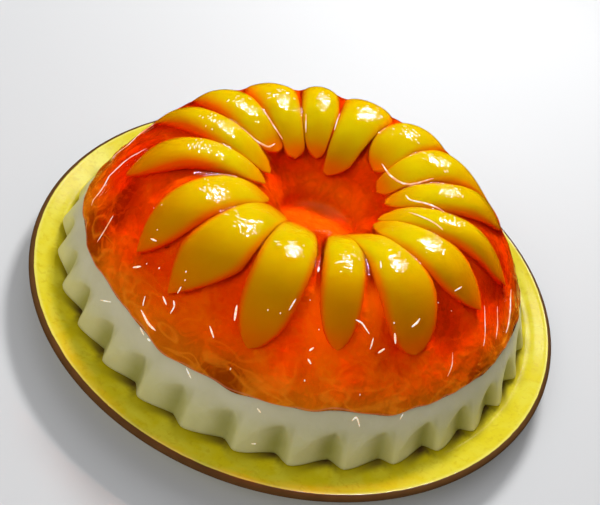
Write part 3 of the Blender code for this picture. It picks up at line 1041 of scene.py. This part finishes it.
def make_slice(index, jelly, fruit, material):
    """A ball, bent and squeezed into a crescent of peach along the dome."""
    name = f"peach_{index + 1:02d}"
    mesh = ball_mesh(name, 40, 56)
    ball = get_points(mesh)
    tilt = np.arccos(np.clip(ball[:, 2], -1.0, 1.0))
    place = 1.0 - 2.0 * tilt / math.pi
    size, _ = polar(ball)
    x = np.where(size > 1e-6, ball[:, 0] / np.maximum(size, 1e-9), 0.0)
    y = np.where(size > 1e-6, ball[:, 1] / np.maximum(size, 1e-9), 0.0)
    middle, half = slice_reach(index)
    along = np.sin(0.5 * math.pi * place)
    radius = middle + half * along
    right, left = slice_half_widths(index, along, fruit)
    across = np.where(x > 0.0, left, right) * x
    heading = slice_heading(index, along) + across / radius
    fullness = np.maximum(1.0 - place * place, 0.0) ** 0.6
    sink = fruit.depth * fullness * np.maximum(-y, 0.0) ** 1.2
    back = slice_bulge(index, along, x, fruit) - slice_cover(along, x, fruit)
    points = off_dome(radius, heading, back - sink, jelly)
    settle(points, jelly)
    set_points(mesh, points)
    tint_slice(mesh, heading, along, x)
    face_outward(mesh)
    add_piece(name, mesh, material, "peach", f"peach_slice_{index + 1:02d}")


def tint_slice(mesh, heading, along, x):
    """Say where a slice is tinted by jelly and painted shade, and where its edges are lost in it.
    """
    # Painted shade: slices in front turn from the light, so they are tinted more.
    facing = 0.35 + 0.65 * ease(-np.sin(heading), -0.4, 0.4)
    at_back = 0.25 + 0.75 * ease(np.sin(heading), 0.0, 0.7)
    steeped_and_shaded = facing * ease(along, -0.35, 0.95) + 0.7 * ease(-along, 0.35, 1.0) * at_back
    store(mesh, "steeped_and_shaded", steeped_and_shaded)
    # Painted shade on the flanks: more in front, and on one side of the slices on the left.
    at_left = ease(-np.cos(heading), 0.4, 0.9)
    flanks = ease(np.abs(x), 0.72, 1.0) * (0.35 + 0.55 * ease(along, -0.5, 0.5) * facing)
    flanks += 0.55 * ease(x, 0.35, 1.0) * at_left * ease(along, -0.5, 0.1)
    ends = 0.5 * ease(along, 0.75, 1.0) * facing + 0.8 * ease(-along, 0.70, 1.0) * at_back
    store(mesh, "sunk_and_shaded", np.clip(flanks + ends, 0.0, 1.0))


def along_path(path, done):
    """Places along a smooth path of (heading, radius or level) points."""
    if len(path) < 3:
        path = (path[0], [0.5 * (a + b) for a, b in zip(path[0], path[-1])], path[-1])
    line = np.array(smooth_line([(*point, 0.0) for point in path], 8))
    spots = np.linspace(0.0, 1.0, len(line))
    return np.array([np.interp(done, spots, line[:, side]) for side in (0, 1)])


def sideways(out, round_way, ball, half_width):
    """Shift out and round of a ball's points, square to a path that runs out and round."""
    size = np.hypot(out, round_way)
    dot = size < 1e-7
    size = np.where(dot, 1.0, size)
    side = ball[:, 0] * half_width
    return (np.where(dot, 0.0, -round_way / size) * side
            + np.where(dot, ball[:, 2] * half_width, 0.0), np.where(dot, 1.0, out / size) * side)


def lay_marks(name, rows, place_on, material, slot):
    """Stretch one small ball along each row's path, and join them all in one piece."""
    joined = bmesh.new()
    for half_width, *path in rows:
        mesh = ball_mesh("mark", 8, 6 if len(path) == 1 else 14)
        ball = get_points(mesh)
        done = 0.5 * (ball[:, 2] + 1.0)
        place, before, after = (along_path(path, done + step) for step in (0.0, -0.02, 0.02))
        set_points(mesh, place_on(place, after - before, ball, half_width * 0.01 * MM))
        joined.from_mesh(mesh)
        bpy.data.meshes.remove(mesh)
    bmesh.ops.recalc_face_normals(joined, faces=joined.faces)
    mesh = bpy.data.meshes.new(name)
    joined.to_mesh(mesh)
    joined.free()
    add_piece(name, mesh, material, slot)


def place_on_dome(jelly, fruit):
    """How to lay a stretched ball on the dome, its length along its path."""
    def place_on(place, run, ball, half_width):
        heading, radius = np.radians(place[0]), place[1] * MM
        shift = sideways(run[1] * MM, np.radians(run[0]) * radius, ball, half_width)
        radius = np.clip(radius + shift[0], 0.0, jelly.radius - 0.0004)
        heading = heading + shift[1] / radius
        lift, _ = skin_offset(radius, heading, jelly, fruit)
        points = off_dome(radius, heading, lift + 0.6 * half_width * ball[:, 1], jelly)
        settle(points, jelly)
        return points

    return place_on


def sparkles(jelly, rng, wet):
    """A cluster of tiny ripples on each slice's back near its crest, drawn as painted glints."""
    rows = []
    for index, row in enumerate(SLICES):
        middle, half = slice_reach(index)
        crest = jelly.crown_radius - 0.003
        for _ in range(wet.sparkles):
            radius = crest + rng.gauss(0.0, 0.0022)
            heading = slice_heading(index, (radius - middle) / half)
            heading += rng.gauss(0.0, 0.13 * row[3] * MM) / radius
            spread = rng.uniform(0.2, 1.1) * MM / radius
            rise = rng.uniform(-0.3, 0.3)
            first, second = math.degrees(heading - spread), math.degrees(heading + spread)
            rows.append((rng.uniform(9, 24), (first, radius / MM - rise),
                         (second, radius / MM + rise)))
    return rows


def make_syrup_glints(jelly, fruit, wet, white, amber):
    """Nicks, beads and long runs of syrup on the orange jelly, painted as glints."""
    rng = random.Random(wet.seed)
    size = wet.bead_size / (0.01 * MM)
    beads = tuple((size * rng.uniform(0.7, 1.2), (rng.uniform(212, 338), rng.uniform(76, 101)))
                  for _ in range(wet.beads))
    place_on = place_on_dome(jelly, fruit)
    lay_marks("syrup_beads", WALL_GLINT_NICKS + beads, place_on, white, "orange")
    lay_marks("crest_sparkles", sparkles(jelly, rng, wet), place_on, white, "orange")
    lay_marks("syrup_runs", SYRUP_GLINT_RUNS, place_on, amber, "orange")


def make_whey_glints(milk, material):
    """A few runs of whey on the milk layer, painted as glints."""
    height = MILK_HIGH.z - MILK_LOW.z

    def place_on(place, run, ball, half_width):
        shift = sideways(run[1] * height, np.radians(run[0]) * milk.foot_radius, ball, half_width)
        level = place[1] + shift[0] / height
        heading = np.radians(place[0]) + shift[1] / milk.foot_radius
        reach = milk.foot_radius + (milk.top_radius - milk.foot_radius) * level ** FLUTE_TAPER
        reach += sag(heading) - flute_cut(heading, level, milk) + 0.6 * half_width * ball[:, 1]
        return from_polar(reach, heading, MILK_LOW.z + height * level)

    lay_marks("whey_runs", WHEY_GLINT_RUNS, place_on, material, "milk")


# Stage

def add_area_light(name, power, size, spot, mirrored):
    """A soft light that looks at the jelly. One that isn't mirrored leaves no gloss on it."""
    data = bpy.data.lights.new(name, "AREA")
    data.shape = "RECTANGLE"
    data.size, data.size_y = size
    data.energy = power
    obj = add_object(name, data)
    obj.visible_glossy = mirrored
    obj.visible_transmission = mirrored
    obj.location = place = toward(*spot)
    obj.rotation_mode = "QUATERNION"
    obj.rotation_quaternion = (LIGHTS_AIM - place).to_track_quat("-Z", "Y")


def toward(heading, elevation, distance):
    """A point at a heading and an elevation from the middle of the table, in degrees."""
    a, e = math.radians(heading), math.radians(elevation)
    return Vector((math.cos(a) * math.cos(e), math.sin(a) * math.cos(e), math.sin(e))) * distance


def make_floor(stage):
    mesh = new_mesh("floor", bmesh.ops.create_circle, cap_ends=True, segments=64, radius=6.0)
    material, _, shader = new_material("floor", Roughness=0.6)
    shader.inputs["Base Color"].default_value = (*stage.floor, 1.0)
    mesh.materials.append(material)
    floor = add_object("floor", mesh)
    floor.visible_glossy = False


def make_sky(stage):
    world = bpy.data.worlds.new("studio")
    bpy.context.scene.world = world
    world.use_nodes = True
    background = world.node_tree.nodes["Background"]
    background.inputs["Color"].default_value = (*stage.sky_tint, 1.0)
    background.inputs["Strength"].default_value = stage.sky
    world.cycles_visibility.glossy = False


def make_camera():
    """A close view from above, with the table sloping down to the right."""
    data = bpy.data.cameras.new("camera")
    data.sensor_width = 36.0
    data.lens = 42.0
    data.shift_x = -0.0008
    data.shift_y = 0.0292
    data.clip_start, data.clip_end = 0.01, 50.0
    camera = add_object("camera", data)
    back = Vector((0.0, -math.cos(CAMERA_TILT), math.sin(CAMERA_TILT)))
    level = Vector((1.0, 0.0, 0.0))
    above = back.cross(level)
    right = math.cos(CAMERA_ROLL) * level + math.sin(CAMERA_ROLL) * above
    up = math.cos(CAMERA_ROLL) * above - math.sin(CAMERA_ROLL) * level
    turn = Matrix((right, up, back)).transposed().to_4x4()
    place = CAMERA_PLACE * PLATE_HIGH.x + Vector((0.0, 0.0, PLATE_HIGH.z))
    camera.matrix_world = Matrix.Translation(place) @ turn
    bpy.context.scene.camera = camera


def make_lights(stage):
    add_area_light("window_behind", stage.key_power, *WINDOW_BEHIND, True)
    add_area_light("light_overhead", stage.top_power, *OVERHEAD, False)
    add_area_light("light_in_front", stage.fill_power, *IN_FRONT, False)


# Operators

class JELLY_OT_plate(bpy.types.Operator):
    """Model the glazed plate"""
    bl_idname = "jelly.plate"
    bl_label = "Plate"

    def execute(self, context):
        make_plate(context.scene.plate_settings, context.scene.milk_settings)
        return {"FINISHED"}


class JELLY_OT_milk_layer(bpy.types.Operator):
    """Model the fluted layer of milk jelly"""
    bl_idname = "jelly.milk_layer"
    bl_label = "Milk layer"

    def execute(self, context):
        make_milk_layer(context.scene.milk_settings)
        return {"FINISHED"}


class JELLY_OT_orange_jelly(bpy.types.Operator):
    """Model the orange dome with its well and the beds of the slices"""
    bl_idname = "jelly.orange_jelly"
    bl_label = "Orange jelly"

    def execute(self, context):
        make_orange_jelly(context.scene.jelly_settings, context.scene.slice_settings)
        make_core(context.scene.jelly_settings, context.scene.slice_settings)
        return {"FINISHED"}


class JELLY_OT_peaches(bpy.types.Operator):
    """Model the crown of peach slices"""
    bl_idname = "jelly.peaches"
    bl_label = "Peach slices"

    def execute(self, context):
        jelly, fruit = context.scene.jelly_settings, context.scene.slice_settings
        material = peach_material(fruit)
        for index in range(len(SLICES)):
            make_slice(index, jelly, fruit, material)
        return {"FINISHED"}


class JELLY_OT_wet_marks(bpy.types.Operator):
    """Lay the wet nicks, beads and runs of syrup, as painted glints"""
    bl_idname = "jelly.wet_marks"
    bl_label = "Wet marks"

    def execute(self, context):
        scene, wet = context.scene, context.scene.wet_settings
        white = shining_material("wet_glint", 900.0, wet.bright, wet.dim, 0.45)
        amber = shining_material("amber_glint", 260.0, wet.run_bright, wet.run_dim, 0.36)
        make_syrup_glints(scene.jelly_settings, scene.slice_settings, wet, white, amber)
        make_whey_glints(scene.milk_settings, white)
        return {"FINISHED"}


class JELLY_OT_stage(bpy.types.Operator):
    """Set up the floor, the lights and the camera"""
    bl_idname = "jelly.stage"
    bl_label = "Stage"

    def execute(self, context):
        stage = context.scene.stage_settings
        make_floor(stage)
        make_sky(stage)
        make_lights(stage)
        make_camera()
        context.scene.view_settings.view_transform = "Standard"
        return {"FINISHED"}


OPERATORS = (
    JELLY_OT_plate, JELLY_OT_milk_layer, JELLY_OT_orange_jelly, JELLY_OT_peaches,
    JELLY_OT_wet_marks, JELLY_OT_stage,
)


class JELLY_PT_sidebar(bpy.types.Panel):
    """Lists the steps that build the jelly"""
    bl_idname = "JELLY_PT_sidebar"
    bl_label = "Peach Crown Jelly"
    bl_space_type = "VIEW_3D"
    bl_region_type = "UI"
    bl_category = "Jelly"

    def draw(self, context):
        for operator in OPERATORS:
            self.layout.operator(operator.bl_idname)
        for name, _ in SETTINGS:
            box = self.layout.box()
            settings = getattr(context.scene, name)
            for label in settings.bl_rna.properties.keys():
                if label not in ("rna_type", "name"):
                    box.prop(settings, label)


def register():
    for name, group in SETTINGS:
        bpy.utils.register_class(group)
        setattr(bpy.types.Scene, name, PointerProperty(type=group))
    for operator in OPERATORS:
        bpy.utils.register_class(operator)
    bpy.utils.register_class(JELLY_PT_sidebar)


def unregister():
    bpy.utils.unregister_class(JELLY_PT_sidebar)
    for operator in reversed(OPERATORS):
        bpy.utils.unregister_class(operator)
    for name, group in reversed(SETTINGS):
        delattr(bpy.types.Scene, name)
        bpy.utils.unregister_class(group)


def clear_default_objects():
    for name in ("Cube", "Light", "Camera"):
        if name in bpy.data.objects:
            bpy.data.objects.remove(bpy.data.objects[name], do_unlink=True)


def main():
    register()
    clear_default_objects()
    bpy.ops.jelly.plate()
    bpy.ops.jelly.milk_layer()
    bpy.ops.jelly.orange_jelly()
    bpy.ops.jelly.peaches()
    bpy.ops.jelly.wet_marks()
    bpy.ops.jelly.stage()


if __name__ == "__main__":
    main()
